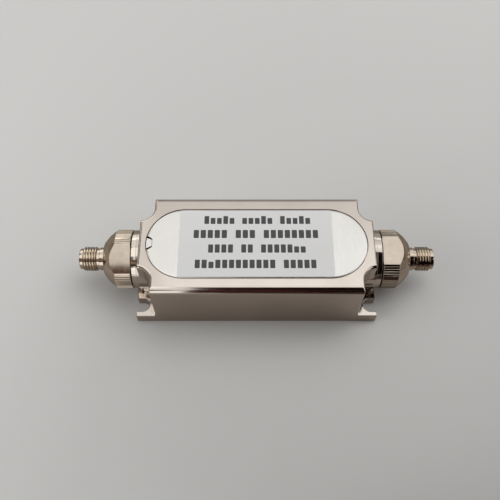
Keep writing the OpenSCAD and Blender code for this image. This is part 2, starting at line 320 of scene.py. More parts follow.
def workpiece(name: str, bm: BMesh) -> Piece:
    """Puts a mesh into the scene as an object.

    Args:
        name: Name of the object.
        bm: Its mesh, which is freed.

    Returns:
        The object.
    """
    mesh = bpy.data.meshes.new(name)
    bm.to_mesh(mesh)
    bm.free()
    piece = bpy.data.objects.new(name, mesh)
    bpy.context.scene.collection.objects.link(piece)
    return piece


def joined(base: BMesh, steps: Sequence[tuple[Join, BMesh]], weighted_bevel: float = 0.0) -> BMesh:
    """Adds solids to a base solid, cuts them out of it or keeps what they share, one after another.

    Args:
        base: The solid that is worked on.
        steps: What is done, and with which solid.
        weighted_bevel: Radius of the rounded edges at a bevel weight of 1, or 0 for none.

    Returns:
        The finished solid. The meshes given are freed.
    """
    target = workpiece("base", base)
    if weighted_bevel:
        bevel = target.modifiers.new("round", "BEVEL")
        bevel.limit_method, bevel.width, bevel.segments = "WEIGHT", weighted_bevel, BEVEL_STEPS
        bevel.use_clamp_overlap = False
    tools = []
    for how, tool in steps:
        cutter = workpiece("tool", tool)
        tools.append(cutter)
        step = target.modifiers.new("step", "BOOLEAN")
        step.operation, step.solver, step.object = how.value, "EXACT", cutter
    graph = bpy.context.evaluated_depsgraph_get()
    mesh = bpy.data.meshes.new_from_object(target.evaluated_get(graph))
    bm = bmesh.new()
    bm.from_mesh(mesh)
    for used in [target] + tools:
        old = used.data
        bpy.data.objects.remove(used)
        bpy.data.meshes.remove(old)
    bpy.data.meshes.remove(mesh)
    return tidy(bm)


def turned_end(bm: BMesh, end: End) -> BMesh:
    """Brings a mesh built on the +X end to its own end by a half turn, so that threads keep their hand.

    Args:
        bm: The mesh.
        end: The end that it belongs to.

    Returns:
        The same mesh.
    """
    if end is End.INPUT:
        bmesh.ops.rotate(bm, cent=(0, 0, 0), matrix=Matrix.Rotation(math.pi, 3, "Z"), verts=bm.verts)
    return bm


def finished(name: str, bm: BMesh, materials: Sequence[Material], nodes: Sequence[str]) -> Piece:
    """Makes the finished piece from a mesh in millimetres.

    Args:
        name: Name of the piece.
        bm: Its mesh, which is freed.
        materials: Its materials, in the order of the mesh's material indices.
        nodes: The nodes of the frame that it stands for.

    Returns:
        The piece, riding on the frame.
    """
    bmesh.ops.scale(bm, vec=(MM, MM, MM), verts=bm.verts)
    piece = workpiece(name, bm)
    for material in materials:
        piece.data.materials.append(material)
    piece.data.shade_smooth()
    piece.data.set_sharp_from_angle(angle=math.radians(SHARP_DEGREES))
    normals = piece.modifiers.new("normals", "WEIGHTED_NORMAL")
    normals.keep_sharp = True
    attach(piece, "root")
    if nodes:
        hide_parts(*nodes)
    LOG.info("%s: %d faces", name, len(piece.data.polygons))
    return piece


# Finishes

class Nodes:
    """Nodes and links of one shader tree."""

    def __init__(self, tree: bpy.types.NodeTree) -> None:
        """Takes the tree."""
        self.tree = tree

    def add(self, kind: str, inputs: Inputs | None = None, **values: object) -> bpy.types.Node:
        """Adds a node.

        Args:
            kind: Type of the node.
            inputs: What its inputs get, by their names or places: a value, a tint or a node's output.
            **values: Its properties.

        Returns:
            The node.
        """
        node = self.tree.nodes.new(kind)
        for name, value in values.items():
            setattr(node, name, value)
        for name, value in (inputs or {}).items():
            self.feed(node.inputs[name], value)
        return node

    def feed(self, socket: Socket, value: object) -> None:
        """Links a node's output to an input, or sets the input's own value.

        Args:
            socket: The input.
            value: A value, a tint or a node's output.
        """
        if isinstance(value, Socket):
            self.tree.links.new(value, socket)
        elif socket.type == "RGBA":
            socket.default_value = (*value, 1.0)
        else:
            socket.default_value = value

    def blend(
        self, factor: Socket | float, first: Tint | Socket, second: Tint | Socket, how: str = "MIX"
    ) -> Socket:
        """Mixes two colours.

        Args:
            factor: Share of the second colour.
            first: A tint or a node's output.
            second: A tint or a node's output.
            how: The node's way of blending.

        Returns:
            The mixed colour.
        """
        inputs = {"Factor": factor, MIX_A: first, MIX_B: second}
        return self.add("ShaderNodeMix", inputs, data_type="RGBA", blend_type=how).outputs[MIX_RESULT]

    def ramp(self, value: Socket, stops: Sequence[Pair]) -> Socket:
        """Adds a grey ramp.

        Args:
            value: What the ramp reads, from 0 to 1.
            stops: Positions and grey levels.

        Returns:
            The ramp's colour.
        """
        node = self.add("ShaderNodeValToRGB", {"Fac": value})
        node.color_ramp.interpolation = "EASE"
        elements = node.color_ramp.elements
        while len(elements) < len(stops):
            elements.new(0.5)
        for element, (position, level) in zip(elements, stops):
            element.position = position
            element.color = (level, level, level, 1)
        return node.outputs["Color"]


class Shading(Nodes):
    """Node tree of one material, built round its Principled shader."""

    def __init__(self, name: str, metallic: float = 0.0) -> None:
        """Starts a material.

        Args:
            name: Its name.
            metallic: 1 for a metal, 0 for anything else.
        """
        self.material = bpy.data.materials.new(name)
        self.material.use_nodes = True
        super().__init__(self.material.node_tree)
        self.shader = self.tree.nodes["Principled BSDF"]
        self.feed(self.shader.inputs["Metallic"], metallic)
        self.place = self.add("ShaderNodeTexCoord").outputs["Object"]

    def stretched(self, scale: Point) -> Socket:
        """Returns the place scaled along each axis, for patterns that run one way."""
        return self.add("ShaderNodeMapping", {"Scale": scale, "Vector": self.place}).outputs["Vector"]

    def noise(
        self, scale: float, detail: float = 3.0, rough: float = 0.5, place: Socket | None = None
    ) -> Socket:
        """Adds a noise.

        Args:
            scale: Patterns in a metre.
            detail: Octaves of finer noise.
            rough: Strength of the finer octaves.
            place: Coordinates, or the object's own where none are given.

        Returns:
            The noise, from 0 to 1.
        """
        inputs = {"Scale": scale, "Detail": detail, "Roughness": rough, "Vector": place or self.place}
        return self.add("ShaderNodeTexNoise", inputs).outputs["Fac"]

    def ranged(self, noise: Socket, low: float, high: float) -> Socket:
        """Maps a noise to a range, held at both ends.

        Args:
            noise: The noise.
            low: What its low values become.
            high: What its high values become.

        Returns:
            The mapped value.
        """
        inputs = {
            "Value": noise, "From Min": NOISE_LOW, "From Max": NOISE_HIGH, "To Min": low, "To Max": high,
        }
        return self.add("ShaderNodeMapRange", inputs).outputs["Result"]

    def mottled(self, noise: Socket, tint: Tint, shade: Tint) -> Socket:
        """Returns a colour that wanders from the tint to the shade with a noise."""
        return self.blend(self.ranged(noise, 0, 1), tint, shade)

    def bump(self, height: Socket, depth: float, below: Socket | None = None) -> Socket:
        """Adds a bump.

        Args:
            height: Height from 0 to 1.
            depth: What a height of 1 stands for, in metres.
            below: Normal that this bump is laid over.

        Returns:
            The bumped normal.
        """
        inputs = {"Distance": depth, "Height": height}
        if below is not None:
            inputs["Normal"] = below
        return self.add("ShaderNodeBump", inputs).outputs["Normal"]

    def finish(self, colour: Socket, roughness: Socket, normal: Socket) -> Material:
        """Links what the shader reads.

        Args:
            colour: Base colour.
            roughness: Roughness.
            normal: Normal.

        Returns:
            The material.
        """
        for name, source in (("Base Color", colour), ("Roughness", roughness), ("Normal", normal)):
            self.feed(self.shader.inputs[name], source)
        return self.material


@dataclass(frozen=True)
class CastNickel:
    """Satin nickel plate over a die casting, with soft flow marks and fine pits."""

    tint: Tint = (0.66, 0.595, 0.535)
    shade: Tint = (0.60, 0.535, 0.475)
    roughness: float = 0.1
    worn: Pair = (0.8, 1.25)
    cloud: float = 90.0
    flow: Point = (120.0, 260.0, 200.0)
    grain: float = 5200.0
    wave: float = 0.000006
    pit: float = 0.0000012

    def material(self) -> Material:
        """Builds the material.

        Returns:
            The material.
        """
        s = Shading("cast_nickel", 1.0)
        cloud = s.noise(self.cloud)
        flow = s.noise(1.0, detail=2, place=s.stretched(self.flow))
        grain = s.noise(self.grain, detail=2, rough=0.6)
        rough = s.ranged(grain, *(self.roughness * share for share in self.worn))
        normal = s.bump(grain, self.pit, s.bump(flow, self.wave))
        return s.finish(s.mottled(cloud, self.tint, self.shade), rough, normal)


@dataclass(frozen=True)
class LidNickel:
    """Whiter satin plate of the lid, rolled along its length and lightly scuffed."""

    tint: Tint = (0.8, 0.783, 0.745)
    shade: Tint = (0.75, 0.735, 0.7)
    roughness: float = 0.3
    worn: Pair = (0.85, 1.2)
    cloud: float = 70.0
    rolled: Point = (160.0, 4200.0, 2000.0)
    scuff: Point = (1500.0, 220.0, 800.0)
    line: float = 0.000001
    wave: float = 0.000008

    def material(self) -> Material:
        """Builds the material.

        Returns:
            The material.
        """
        s = Shading("lid_nickel", 1.0)
        cloud = s.noise(self.cloud)
        rolled = s.noise(1.0, rough=0.6, place=s.stretched(self.rolled))
        scuff = s.noise(1.0, detail=4, rough=0.7, place=s.stretched(self.scuff))
        rough = s.ranged(scuff, *(self.roughness * share for share in self.worn))
        normal = s.bump(rolled, self.line, s.bump(cloud, self.wave))
        return s.finish(s.mottled(cloud, self.tint, self.shade), rough, normal)


@dataclass(frozen=True)
class TurnedNickel:
    """Nickel plate over turned brass, with fine tool lines round the axis."""

    name: str = "turned_nickel"
    tint: Tint = (0.66, 0.575, 0.48)
    shade: Tint = (0.56, 0.475, 0.385)
    roughness: float = 0.06
    worn: Pair = (0.8, 1.3)
    cloud: float = 350.0
    lines: float = 9000.0
    round_axis: float = 60.0
    depth: float = 0.0000014

    def material(self) -> Material:
        """Builds the material.

        Returns:
            The material.
        """
        s = Shading(self.name, 1.0)
        cloud = s.noise(self.cloud)
        place = s.stretched((self.lines, self.round_axis, self.round_axis))
        tool = s.noise(1.0, detail=2, rough=0.6, place=place)
        rough = s.ranged(tool, *(self.roughness * share for share in self.worn))
        return s.finish(s.mottled(cloud, self.tint, self.shade), rough, s.bump(tool, self.depth))


@dataclass(frozen=True)
class LabelPaper:
    """Smooth pale grey label film."""

    tint: Tint = (0.85, 0.85, 0.845)
    shade: Tint = (0.82, 0.82, 0.815)
    roughness: Pair = (0.42, 0.55)
    specular: float = 0.4
    cloud: float = 60.0
    fibre: float = 2600.0
    fibre_depth: float = 0.0000015
    wave: float = 0.00001

    def material(self) -> Material:
        """Builds the material.

        Returns:
            The material.
        """
        s = Shading("label_film")
        s.feed(s.shader.inputs["Specular IOR Level"], self.specular)
        cloud = s.noise(self.cloud)
        fibre = s.noise(self.fibre, rough=0.6)
        normal = s.bump(fibre, self.fibre_depth, s.bump(cloud, self.wave))
        return s.finish(s.mottled(cloud, self.tint, self.shade), s.ranged(fibre, *self.roughness), normal)


@dataclass(frozen=True)
class Coated:
    """A plain surface with mottled colour and a fine grain, for print, rubber, plastics, copper and chips."""

    name: str
    tint: Tint
    shade: Tint
    roughness: float
    grain: float = 1500.0
    depth: float = 0.000002
    metallic: float = 0.0
    worn: Pair = (0.85, 1.15)

    def material(self) -> Material:
        """Builds the material.

        Returns:
            The material.
        """
        s = Shading(self.name, self.metallic)
        grain = s.noise(self.grain, rough=0.6)
        rough = s.ranged(grain, *(self.roughness * share for share in self.worn))
        return s.finish(s.mottled(grain, self.tint, self.shade), rough, s.bump(grain, self.depth))


# Housing

@dataclass
class Housing:
    """Die-cast box with end lugs, screw-head reliefs, round bosses, a base flange and four open slots.

    The pocket's mouth starts to widen mouth_drop below the top, in steps of (outwards, upwards).
    """

    half_flange: float = 31.6
    flange_t: float = 3.4
    half_w: float = 13.7
    lug_end: float = 30.65
    end_wall: float = 26.5
    slot_x: float = 30.1
    slot_y: float = 10.5
    slot_r: float = 1.9
    slot_steps: int = 24
    relief_r: float = 3.6
    relief_steps: int = 28
    pocket_r: float = 9.95
    mouth_drop: float = 0.18
    mouth: tuple[Pair, ...] = ((0.02, 0.095), (0.053, 0.082), (0.082, 0.053), (0.095, 0.02), (0.0, 1.0))
    cavity_r: float = 8.75
    floor: float = 3.0
    boss_root: float = 24.5
    boss_end: float = 31.85
    boss_r: float = 7.75
    boss_round: float = 0.12
    land_r: float = 7.55
    land_w: float = 1.2
    land_round: float = 0.06
    shank_r: float = 6.05
    bore_bottom: float = 28.0
    feed_r: float = 2.6
    feed_start: float = 26.0
    post_x: float = 21.0
    post_y: float = 5.2
    post_r: float = 2.2
    post_top: float = 8.1
    screw_r: float = 1.05
    screw_depth: float = 4.0
    long_round: float = 1.6
    lug_round: float = 1.2
    end_round: float = 0.8
    upright_round: float = 0.35
    junction_round: float = 0.35
    flange_round: float = 0.22
    slot_round: float = 0.16
    foot_round: float = 0.25
    base_round: float = 0.12

    def outline(self) -> BMesh:
        """Draws the box's and the flange's outline as three flat faces at the base.

        Returns:
            A mesh with the box's own face and a face for the foot at each end.
        """
        bm = bmesh.new()
        slot_centre = (self.slot_x, self.slot_y, 0)
        sweep = math.pi - math.acos((self.lug_end - self.slot_x) / self.relief_r)
        relief = bm.verts.new((self.end_wall, self.slot_y, 0))
        bmesh.ops.spin(
            bm, geom=[relief], cent=slot_centre, axis=(0, 0, 1), angle=sweep, steps=self.relief_steps,
            use_merge=False,
        )
        arc_end = min(bm.verts, key=lambda v: v.co.y)
        corner = bm.verts.new((self.end_wall, self.half_w, 0))
        bm.edges.new((relief, corner))
        slot_side = self.slot_y + self.slot_r
        places = ((self.half_flange, self.half_w), (self.half_flange, slot_side), (self.slot_x, slot_side))
        tip = [bm.verts.new((x, y, 0)) for x, y in places]
        for pair in zip([corner] + tip, tip):
            bm.edges.new(pair)
        before = set(bm.verts)
        bmesh.ops.spin(
            bm, geom=[tip[-1]], cent=slot_centre, axis=(0, 0, 1), angle=math.pi, steps=self.slot_steps,
            use_merge=False,
        )
        slot_end = min(set(bm.verts) - before, key=lambda v: v.co.y)
        inner = bm.verts.new((self.half_flange, self.slot_y - self.slot_r, 0))
        bm.edges.new((slot_end, inner))
        across_y, across_x = (arc_end.co.copy(), inner.co.copy()), corner.co.copy()
        for axis in "YX":
            bmesh.ops.mirror(bm, geom=all_of(bm), matrix=Matrix(), merge_dist=-1, axis=axis)
        for place in across_y:
            self.bridge(bm, place, Vector((1, -1, 1)))
        self.bridge(bm, across_x, Vector((-1, 1, 1)))
        bmesh.ops.remove_doubles(bm, verts=bm.verts, dist=MERGE)
        long_sides = [e for e in bm.edges if e.verts[0].co.x * e.verts[1].co.x < 0]
        wall = [e for e in bm.edges if all(self.on_wall(v.co) for v in e.verts) and e not in long_sides]
        rest = [e for e in bm.edges if e not in long_sides and e not in wall]
        bmesh.ops.contextual_create(bm, geom=long_sides + wall)
        for side in (1, -1):
            bmesh.ops.contextual_create(bm, geom=[e for e in wall + rest if e.verts[0].co.x * side > 0])
        return bm

    def on_wall(self, point: Vector) -> bool:
        """Says whether a point of the outline lies on the box's end wall, lug or relief.

        Args:
            point: The point.

        Returns:
            Whether it does.
        """
        x, y = abs(point.x), abs(point.y)
        in_relief = abs(math.hypot(x - self.slot_x, y - self.slot_y) - self.relief_r) < ON and x < self.slot_x
        return in_relief or abs(x - self.end_wall) < ON or abs(x - self.lug_end) < ON

    def bridge(self, bm: BMesh, place: Vector, flip: Vector) -> None:
        """Joins a vertex to its mirror image, and does the same on the other side of the box.

        Args:
            bm: The mirrored outline.
            place: Where the vertex is.
            flip: -1 on the axis that the image is mirrored across, and 1 on the others.
        """
        for side in (Vector((1, 1, 1)), -flip):
            ends = (place * side, place * side * flip)
            bm.edges.new([min(bm.verts, key=lambda v: (v.co - end).length) for end in ends])

    def weigh(self, bm: BMesh) -> None:
        """Gives every edge that is rounded its share of the long edges' radius.

        Args:
            bm: The plain block.
        """
        layer = bm.edges.layers.float.new("bevel_weight_edge")
        for edge in bm.edges:
            if len(edge.link_faces) == 2 and edge.calc_face_angle() > math.radians(FOLD_DEGREES):
                edge[layer] = self.radius_of(edge) / self.long_round

    def radius_of(self, edge: Edge) -> float:
        """Says how round an edge is, from where it lies.

        Args:
            edge: An edge between two faces at an angle.

        Returns:
            Its radius in millimetres.
        """
        a, b = (v.co for v in edge.verts)
        middle = (a + b) / 2
        x, y = abs(middle.x), abs(middle.y)
        if abs(a.z - b.z) > ON:
            return self.upright_round if middle.z > self.flange_t else self.foot_round
        if middle.z > BOX_TOP - ON:
            if y > self.half_w - ON:
                return self.long_round
            return self.lug_round if x > self.lug_end - ON else self.end_round
        if middle.z < ON:
            return self.base_round
        beside = abs(y - self.slot_y) < self.slot_r + ON
        if math.hypot(x - self.slot_x, y - self.slot_y) < self.slot_r + ON or (x > self.slot_x and beside):
            return self.slot_round
        outer = y > self.half_w - ON or x > self.half_flange - ON
        return self.flange_round if outer else self.junction_round

    def block(self) -> BMesh:
        """Raises the outline to the flange and the box, and weighs the edges.

        Returns:
            The plain block, closed, with bevel weights.
        """
        bm = self.outline()
        upper = pushed(bm, bm.faces, (0, 0, self.flange_t))
        box = [f for f in upper if abs(f.calc_center_median().x) < LID_STRAIGHT]
        pushed(bm, box, (0, 0, BOX_TOP - self.flange_t))
        tidy(bm)
        bmesh.ops.dissolve_limit(
            bm, angle_limit=math.radians(FLAT_DEGREES), verts=bm.verts, edges=bm.edges)
        bmesh.ops.recalc_face_normals(bm, faces=bm.faces)
        self.weigh(bm)
        return bm

    def boss(self, end: End) -> BMesh:
        """Turns the boss, whose machined land steps in at its end.

        Args:
            end: The end that it stands on.

        Returns:
            The closed solid.
        """
        land = self.boss_end - self.land_w
        return turned_end(lathe([
            (self.boss_root, self.boss_r), (land, self.boss_r), (land, self.land_r),
            (self.boss_end, self.land_r),
        ], rounds={1: self.boss_round, 3: self.land_round}, arc=3), end)

    def pocket(self) -> BMesh:
        """Makes the cutter for the lid's pocket, with a small round at its mouth.

        Returns:
            The closed cutter.
        """
        bm = stadium(self.pocket_r, LID_STRAIGHT, LID_LOW, BOX_TOP - self.mouth_drop)
        mouth = [f for f in bm.faces if f.normal.z > LOOKS_UP]
        for out, up in self.mouth:
            mouth = pushed(bm, mouth, (0, 0, up))
            spread(bm, mouth, LID_STRAIGHT, out)
        return tidy(bm)

    def bores(self, end: End) -> BMesh:
        """Turns the cutter for the shank's bore and the feed hole.

        Args:
            end: The end that they go into.

        Returns:
            The closed cutter.
        """
        return turned_end(lathe([
            (self.feed_start, self.feed_r), (self.bore_bottom, self.feed_r), (self.bore_bottom, self.shank_r),
            (self.boss_end + CLEAR, self.shank_r),
        ], SMALL_TURN_STEPS), end)

    def build(self) -> list[Piece]:
        """Builds the housing as one piece, with its machined lands in the turned finish.

        Returns:
            The piece, in a list.
        """
        cavity = stadium(self.cavity_r, LID_STRAIGHT, self.floor, LID_LOW + CLEAR)
        corners = [(sx * self.post_x, sy * self.post_y) for sx in (-1, 1) for sy in (-1, 1)]
        low, high = self.post_top - self.screw_depth, self.post_top + CLEAR
        steps = [(Join.ADD, self.boss(end)) for end in End]
        steps += [(Join.CUT, self.pocket()), (Join.CUT, cavity)]
        steps += [(Join.ADD, post(x, y, self.post_r, self.floor - CLEAR, self.post_top)) for x, y in corners]
        steps += [(Join.CUT, post(x, y, self.screw_r, low, high)) for x, y in corners]
        steps += [(Join.CUT, self.bores(end)) for end in End]
        bm = joined(self.block(), steps, self.long_round)
        land = self.boss_end - self.land_w
        for face in bm.faces:
            centre = face.calc_center_median()
            from_axis = math.hypot(centre.y, centre.z - AXIS_H)
            face.material_index = int(abs(centre.x) > land - NEAR and from_axis < self.land_r + NEAR)
        turned = TurnedNickel(
            "machined_land", (0.70, 0.63, 0.55), (0.66, 0.59, 0.51), roughness=0.08, lines=5000.0,
            depth=0.0000012)
        finishes = [CastNickel().material(), turned.material()]
        return [finished("housing_shell", bm, finishes, ["housing"])]


# Lid and label

@dataclass
class Lid:
    """Round-ended plate in the top of the box, with a soft edge and a pry notch at its input end.

    Each end of the notch has a nick, cut deep, and a line joins them. Their corners are measured from the
    plate's input end. What lies between shade_low above the plate's foot and shade_high below its top,
    within shade_reach of that end, gets painted shade, a near-black colour, where it is a wall or deeper
    than shade_floor.
    """

    radius: float = 9.83
    steps: int = 64
    edge_w: float = 0.62
    edge_drop: float = 0.19
    edge_steps: int = 8
    notch_r: float = 1.95
    notch_depth: float = 1.2
    notch_drop: float = 0.12
    notch_foot: float = -0.05
    notch_mouth: float = 0.12
    over: float = 0.6
    nick: tuple[Pair, ...] = (
        (-0.3, 1.9), (0.1, 2.08), (0.7, 1.82), (1.3, 1.42), (1.64, 1.0), (1.5, 0.84), (1.05, 1.08),
        (0.25, 1.42),
    )
    nick_floor: float = 0.4
    line: tuple[Pair, ...] = ((1.42, 0.88), (1.5, 0.35), (1.4, 0.05), (1.52, -0.35), (1.42, -0.88))
    line_w: float = 0.11
    line_depth: float = 0.35
    shade_low: float = 0.1
    shade_high: float = 0.14
    shade_floor: float = 0.25
    shade_reach: Pair = (1.75, 2.25)

    def plate(self) -> BMesh:
        """Makes the plate, whose top edge falls away in a quarter of an ellipse.

        Returns:
            The closed plate.
        """
        bm = stadium(self.radius, LID_STRAIGHT, LID_LOW, BOX_TOP - self.edge_drop, self.steps)
        rim = [f for f in bm.faces if f.normal.z > LOOKS_UP]
        for step in range(self.edge_steps):
            near, far = (math.pi / 2 * (1 - (step + n) / self.edge_steps) for n in (0, 1))
            rim = pushed(bm, rim, (0, 0, self.edge_drop * (math.cos(far) - math.cos(near))))
            spread(bm, rim, LID_STRAIGHT, self.edge_w * (math.sin(far) - math.sin(near)))
        return tidy(bm)

    def prism(self, outline: Sequence[Pair], low: float) -> BMesh:
        """Makes an upright cutter from a closed outline, up through the lid's top.

        Args:
            outline: Corners of the cutter's foot.
            low: Height of its foot.

        Returns:
            The closed cutter.
        """
        bm = bmesh.new()
        face = bm.faces.new([bm.verts.new((x, y, low)) for x, y in outline])
        pushed(bm, [face], (0, 0, BOX_TOP + self.over - low))
        return tidy(bm)

    def build(self) -> list[Piece]:
        """Builds the plate with the notch, the nicks at its corners and the line between them.

        Returns:
            The piece, in a list.
        """
        end = -LID_STRAIGHT - self.radius
        notch = post(end + self.notch_depth - self.notch_r, 0, self.notch_r + self.notch_foot,
                     BOX_TOP - self.notch_drop, BOX_TOP + self.over, self.notch_r + self.notch_mouth)
        line = [(end + x, y) for x, y in self.line]
        line += [(x + self.line_w, y) for x, y in reversed(line)]
        cuts = [(Join.CUT, notch), (Join.CUT, self.prism(line, BOX_TOP - self.line_depth))]
        for side in (1, -1):
            nick = [(end + x, y * side) for x, y in self.nick]
            cuts.append((Join.CUT, self.prism(nick, LID_LOW + self.nick_floor)))
        bm = joined(self.plate(), cuts)
        # Walls and deep floors of the nicks and the line near the input end get painted shade: a near-black
        # colour that stands in for the shade inside these narrow cuts.
        for face in bm.faces:
            at = face.calc_center_median()
            deep = LID_LOW + self.shade_low < at.z < BOX_TOP - self.shade_high
            cut = face.normal.z < LOOKS_ASIDE or at.z < BOX_TOP - self.shade_floor
            beside = at.x < end + self.shade_reach[0] and abs(at.y) < self.shade_reach[1]
            face.material_index = int(deep and cut and beside)
        shade_finish = Coated("painted_recess_shade", (0.075, 0.066, 0.06), (0.05, 0.045, 0.04), roughness=0.6)
        return [finished("lid_plate", bm, [LidNickel().material(), shade_finish.material()], ["lid"])]


@dataclass
class Label:
    """Pale label on the lid, with rows of plain bars printed on it.

    A row is (foot along Y, start along X, advance, marks), with # for a tall bar and = for a short one.
    The short bars' height is a share of the tall ones', and the bars' width a share of the advance.
    """

    middle: float = -0.2
    half_len: float = 19.48
    half_w: float = 9.58
    thick: float = 0.1
    corner: float = 0.5
    edge: float = 0.03
    ink: float = 0.012
    ink_sunk: float = 0.01
    tall: float = 2.35
    short: float = 0.76
    bar_w: float = 0.74
    bar_corner: float = 0.18
    rows: tuple[tuple[float, float, float, str], ...] = (
        (5.5, -13.4, 1.62, "#==#= ===#= #==#="),
        (1.35, -16.0, 1.78, "##### ### ########"),
        (-2.85, -12.2, 1.66, "#### ## #####=="),
        (-7.2, -15.4, 1.70, "##=######### #####"),
    )

    def plate(self, x: Pair, y: Pair, z: Pair, corner: float) -> BMesh:
        """Makes a flat sheet with rounded corners.

        Args:
            x: Its ends along X.
            y: Its ends along Y.
            z: Its underside and top.
            corner: Radius of the corners.

        Returns:
            The closed sheet.
        """
        bm = bmesh.new()
        size = Matrix.Diagonal((*(high - low for low, high in (x, y, z)), 1))
        middle = Matrix.Translation([(low + high) / 2 for low, high in (x, y, z)])
        bmesh.ops.create_cube(bm, size=1, matrix=middle @ size)
        round_edges(bm, lambda e: abs(e.verts[0].co.z - e.verts[1].co.z) > MERGE, corner, CORNER_STEPS)
        return bm

    def bars(self, top: float) -> BMesh:
        """Lays out the printed bars, row by row.

        Args:
            top: Height of the label's top.

        Returns:
            All the bars as one mesh.
        """
        bm = bmesh.new()
        for base, start, advance, pattern in self.rows:
            for k, mark in enumerate(pattern):
                if mark == " ":
                    continue
                height = self.tall if mark == "#" else self.tall * self.short
                x = start + k * advance
                bar = self.plate((x, x + advance * self.bar_w), (base, base + height),
                                 (top - self.ink_sunk, top + self.ink), self.bar_corner)
                mesh = bpy.data.meshes.new("bar")
                bar.to_mesh(mesh)
                bar.free()
                bm.from_mesh(mesh)
                bpy.data.meshes.remove(mesh)
        return bm

    def build(self) -> list[Piece]:
        """Builds the label and its printed bars.

        Returns:
            The label and the bars.
        """
        top = BOX_TOP + self.thick
        bm = self.plate((self.middle - self.half_len, self.middle + self.half_len),
                        (-self.half_w, self.half_w), (BOX_TOP, top), self.corner)
        round_edges(bm, lambda e: min(v.co.z for v in e.verts) > top - MERGE, self.edge, EDGE_STEPS)
        film = finished("label_film", bm, [LabelPaper().material()], ["label"])
        ink = Coated("label_ink", (0.045, 0.045, 0.048), (0.065, 0.065, 0.067), roughness=0.5, grain=3000.0,
                     depth=0.000001)
        return [film, finished("label_print", self.bars(top), [ink.material()], [])]


# Jacks

